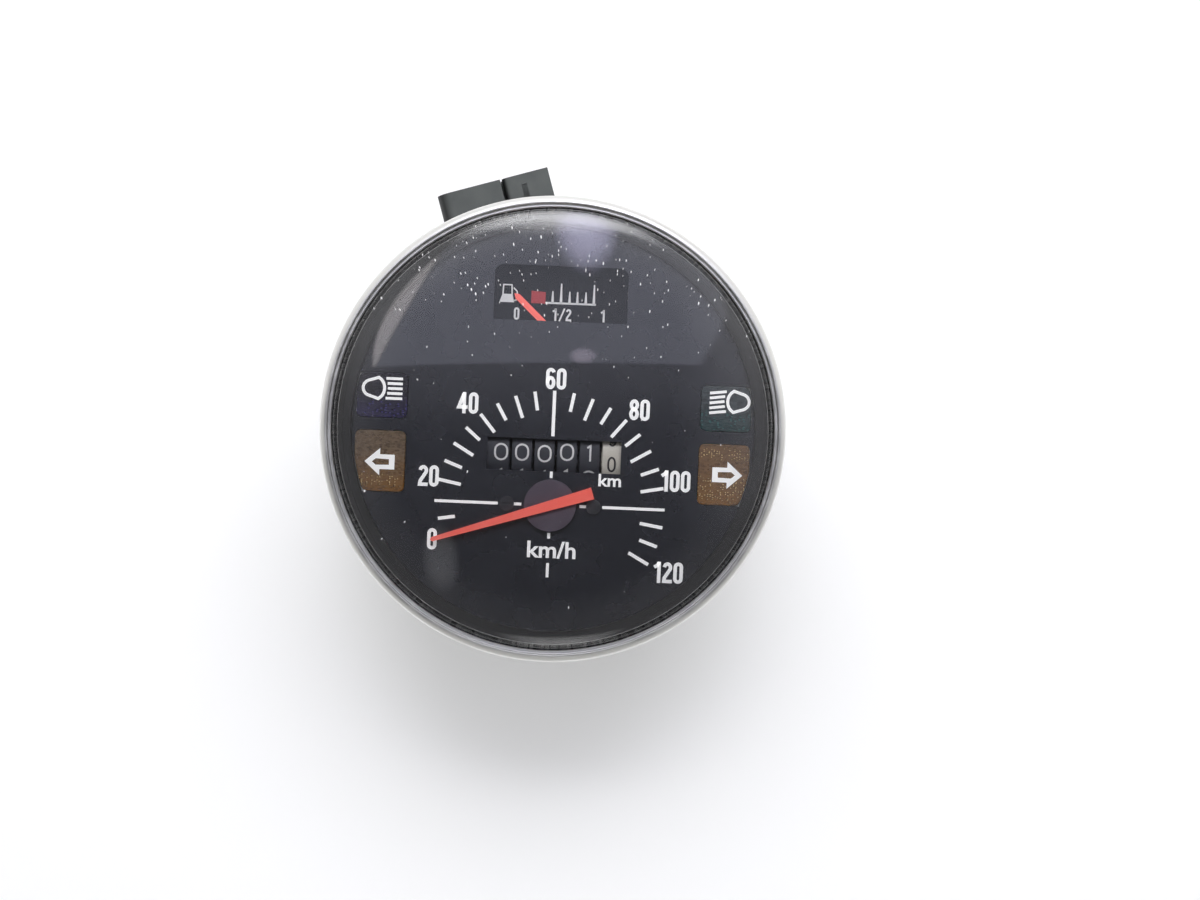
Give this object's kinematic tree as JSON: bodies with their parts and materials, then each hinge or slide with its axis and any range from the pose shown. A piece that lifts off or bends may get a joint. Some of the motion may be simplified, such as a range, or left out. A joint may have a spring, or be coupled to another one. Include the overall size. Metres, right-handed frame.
{
  "type": "speedometer",
  "caption": "Round scooter speedometer with a drag-magnet needle, worm-driven odometer, fuel gauge, tell-tale windows and rear cable nipple.",
  "frame": {"origin": "centre of the cable nipple's mouth, at the back of the instrument", "axes": "+Z out of the dial towards the reader, +Y towards the dial's 12 o'clock, +X to the dial's right"},
  "size_m": [0.1, 0.1103, 0.072],
  "materials": {
    "housing_plastic": "moulded, satin",
    "bezel_metal": "rolled, satin bright",
    "lens_clear": "clear moulded, polished",
    "seal_rubber": "soft black",
    "dial_black": "matt black print",
    "blue_window": "tinted, ribbed behind",
    "green_window": "tinted, ribbed behind",
    "amber_window": "tinted, prismatic",
    "white_plastic": "white moulded",
    "dark_steel": "blackened",
    "needle_red": "fluorescent orange-red",
    "hub_grey": "moulded dark grey",
    "steel": "turned, bright plated",
    "aluminium": "drawn",
    "brass": "turned",
    "bridge_steel": "yellow passivated",
    "cast_zinc": "die cast zinc, grey",
    "magnet_iron": "sintered",
    "nylon": "moulded natural",
    "drum_white": "moulded cream",
    "drum_black": "moulded black",
    "gauge_case": "moulded",
    "copper_coils": "enamelled windings",
    "board_green": "coated laminate",
    "black_plastic": "moulded black",
    "bulb_glass": "clear"
  },
  "bodies": {
    "case": {"housing": "housing_plastic", "bezel_ring": "bezel_metal", "lens": "lens_clear", "lens_seal": "seal_rubber", "dial_plate": "dial_black", "dial_surround": "dial_black", "high_beam_window": "blue_window", "low_beam_window": "green_window", "left_turn_window": "amber_window", "right_turn_window": "amber_window", "light_box": "white_plastic", "dial_screws": "dark_steel", "hairspring": "brass", "bridge_plate": "bridge_steel", "bridge_screws": "steel", "mechanism_frame": "cast_zinc", "frame_screws": "steel", "cable_nipple": "cast_zinc", "spindle_bush": "brass", "odometer_shaft": "steel", "pinion_shaft": "steel", "fuel_gauge_case": "gauge_case", "fuel_coils": "copper_coils", "fuel_dial": "dial_black", "fuel_terminals": "brass", "circuit_board": "board_green", "bulb_holders": "black_plastic", "bulbs": "bulb_glass", "main_connector": "black_plastic", "small_connector": "black_plastic", "connector_pins": "brass", "mounting_studs": "steel"},
    "drive": {"drive_spindle": "steel", "spindle_worm": "steel", "magnet": "magnet_iron", "flux_cup": "steel"},
    "worm_shaft": {"worm_shaft": "steel", "worm_shaft_wheel": "nylon", "worm_shaft_worm": "nylon"},
    "layshaft": {"layshaft": "steel", "layshaft_wheel": "nylon", "layshaft_gear": "nylon"},
    "tenths": {"drum_tenths": "drum_white"},
    "units": {"drum_units": "drum_black"},
    "tens": {"drum_tens": "drum_black"},
    "hundreds": {"drum_hundreds": "drum_black"},
    "thousands": {"drum_thousands": "drum_black"},
    "ten_thousands": {"drum_ten_thousands": "drum_black"},
    "pinion_1": {"carry_pinion_1": "nylon"},
    "pinion_2": {"carry_pinion_2": "nylon"},
    "pinion_3": {"carry_pinion_3": "nylon"},
    "pinion_4": {"carry_pinion_4": "nylon"},
    "pinion_5": {"carry_pinion_5": "nylon"},
    "pointer": {"pointer_spindle": "steel", "speed_cup": "aluminium", "needle_hub": "hub_grey", "needle": "needle_red"},
    "fuel_pointer": {"fuel_spindle": "steel", "fuel_rotor": "magnet_iron", "fuel_needle": "needle_red"}
  },
  "joints": [
    {"name": "drive_turn", "type": "hinge", "parent": "case", "child": "drive", "pos_m": [0, 0, 0.0248], "axis": [0, 0, -1], "continuous": true},
    {"name": "worm_shaft_turn", "type": "hinge", "parent": "case", "child": "worm_shaft", "pos_m": [0.0064, 0, 0.0248], "axis": [0, 1, 0], "continuous": true},
    {"name": "layshaft_turn", "type": "hinge", "parent": "case", "child": "layshaft", "pos_m": [0, 0.02189, 0.0352], "axis": [1, 0, 0], "continuous": true},
    {"name": "tenths_turn", "type": "hinge", "parent": "case", "child": "tenths", "pos_m": [0.0004, 0.0115, 0.0499], "axis": [1, 0, 0], "continuous": true},
    {"name": "units_turn", "type": "hinge", "parent": "case", "child": "units", "pos_m": [0.0004, 0.0115, 0.0499], "axis": [1, 0, 0], "continuous": true},
    {"name": "tens_turn", "type": "hinge", "parent": "case", "child": "tens", "pos_m": [0.0004, 0.0115, 0.0499], "axis": [1, 0, 0], "continuous": true},
    {"name": "hundreds_turn", "type": "hinge", "parent": "case", "child": "hundreds", "pos_m": [0.0004, 0.0115, 0.0499], "axis": [1, 0, 0], "continuous": true},
    {"name": "thousands_turn", "type": "hinge", "parent": "case", "child": "thousands", "pos_m": [0.0004, 0.0115, 0.0499], "axis": [1, 0, 0], "continuous": true},
    {"name": "ten_thousands_turn", "type": "hinge", "parent": "case", "child": "ten_thousands", "pos_m": [0.0004, 0.0115, 0.0499], "axis": [1, 0, 0], "continuous": true},
    {"name": "pinion_1_turn", "type": "hinge", "parent": "case", "child": "pinion_1", "pos_m": [0.0004, 0.022, 0.0499], "axis": [1, 0, 0], "continuous": true},
    {"name": "pinion_2_turn", "type": "hinge", "parent": "case", "child": "pinion_2", "pos_m": [0.0004, 0.022, 0.0499], "axis": [1, 0, 0], "continuous": true},
    {"name": "pinion_3_turn", "type": "hinge", "parent": "case", "child": "pinion_3", "pos_m": [0.0004, 0.022, 0.0499], "axis": [1, 0, 0], "continuous": true},
    {"name": "pinion_4_turn", "type": "hinge", "parent": "case", "child": "pinion_4", "pos_m": [0.0004, 0.022, 0.0499], "axis": [1, 0, 0], "continuous": true},
    {"name": "pinion_5_turn", "type": "hinge", "parent": "case", "child": "pinion_5", "pos_m": [0.0004, 0.022, 0.0499], "axis": [1, 0, 0], "continuous": true},
    {"name": "needle_swing", "type": "hinge", "parent": "case", "child": "pointer", "pos_m": [0, 0, 0.0595], "axis": [0, 0, -1], "range_deg": [0, 227], "stiffness_Nm_per_rad": 0.000025},
    {"name": "fuel_needle_swing", "type": "hinge", "parent": "case", "child": "fuel_pointer", "pos_m": [0.0008, 0.0359, 0.0595], "axis": [0, 0, -1], "range_deg": [0, 92]}
  ],
  "couplings": [
    {"joint": "worm_shaft_turn", "follows": "drive_turn", "ratio": -0.05},
    {"joint": "layshaft_turn", "follows": "drive_turn", "ratio": 0.00125},
    {"joint": "tenths_turn", "follows": "drive_turn", "ratio": -0.0014286},
    {"joint": "units_turn", "follows": "drive_turn", "ratio": -0.00014286},
    {"joint": "tens_turn", "follows": "drive_turn", "ratio": -0.000014286},
    {"joint": "hundreds_turn", "follows": "drive_turn", "ratio": -0.0000014286},
    {"joint": "thousands_turn", "follows": "drive_turn", "ratio": -0.00000014286},
    {"joint": "ten_thousands_turn", "follows": "drive_turn", "ratio": -0.000000014286},
    {"joint": "pinion_1_turn", "follows": "drive_turn", "ratio": 0.00035714},
    {"joint": "pinion_2_turn", "follows": "drive_turn", "ratio": 0.000035714},
    {"joint": "pinion_3_turn", "follows": "drive_turn", "ratio": 0.0000035714},
    {"joint": "pinion_4_turn", "follows": "drive_turn", "ratio": 0.00000035714},
    {"joint": "pinion_5_turn", "follows": "drive_turn", "ratio": 0.000000035714}
  ]
}
